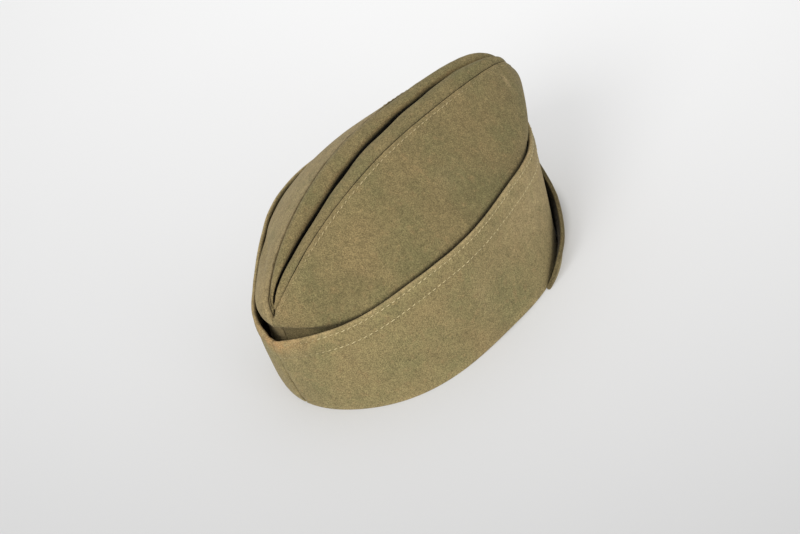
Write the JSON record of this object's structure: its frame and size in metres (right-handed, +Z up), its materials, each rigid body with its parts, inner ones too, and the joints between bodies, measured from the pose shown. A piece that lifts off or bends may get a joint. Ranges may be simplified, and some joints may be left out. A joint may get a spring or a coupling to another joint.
{
  "type": "garrison cap",
  "caption": "Soft wool garrison cap with a pinched boat-shaped crown and a turned-up curtain lapped at the front; worn on the head, it folds flat.",
  "frame": {"origin": "on the plane that the rim stands on, under the middle of the cap's bounding box", "axes": "+Z up through the crown, +Y towards the centre back of the cap, -Y towards its front, -X towards the wearer's right"},
  "size_m": [0.1574, 0.2406, 0.1232],
  "materials": {
    "crown_wool": "matte olive drab wool cloth, slightly felted",
    "curtain_wool": "matte olive drab wool cloth, worn lighter on its edges",
    "stitching": "matte straw-coloured cotton thread"
  },
  "bodies": {
    "root": {"crown_right": "crown_wool", "crown_left": "crown_wool", "top_gusset": "crown_wool", "curtain_right": "curtain_wool", "curtain_left": "curtain_wool"}
  },
  "joints": []
}
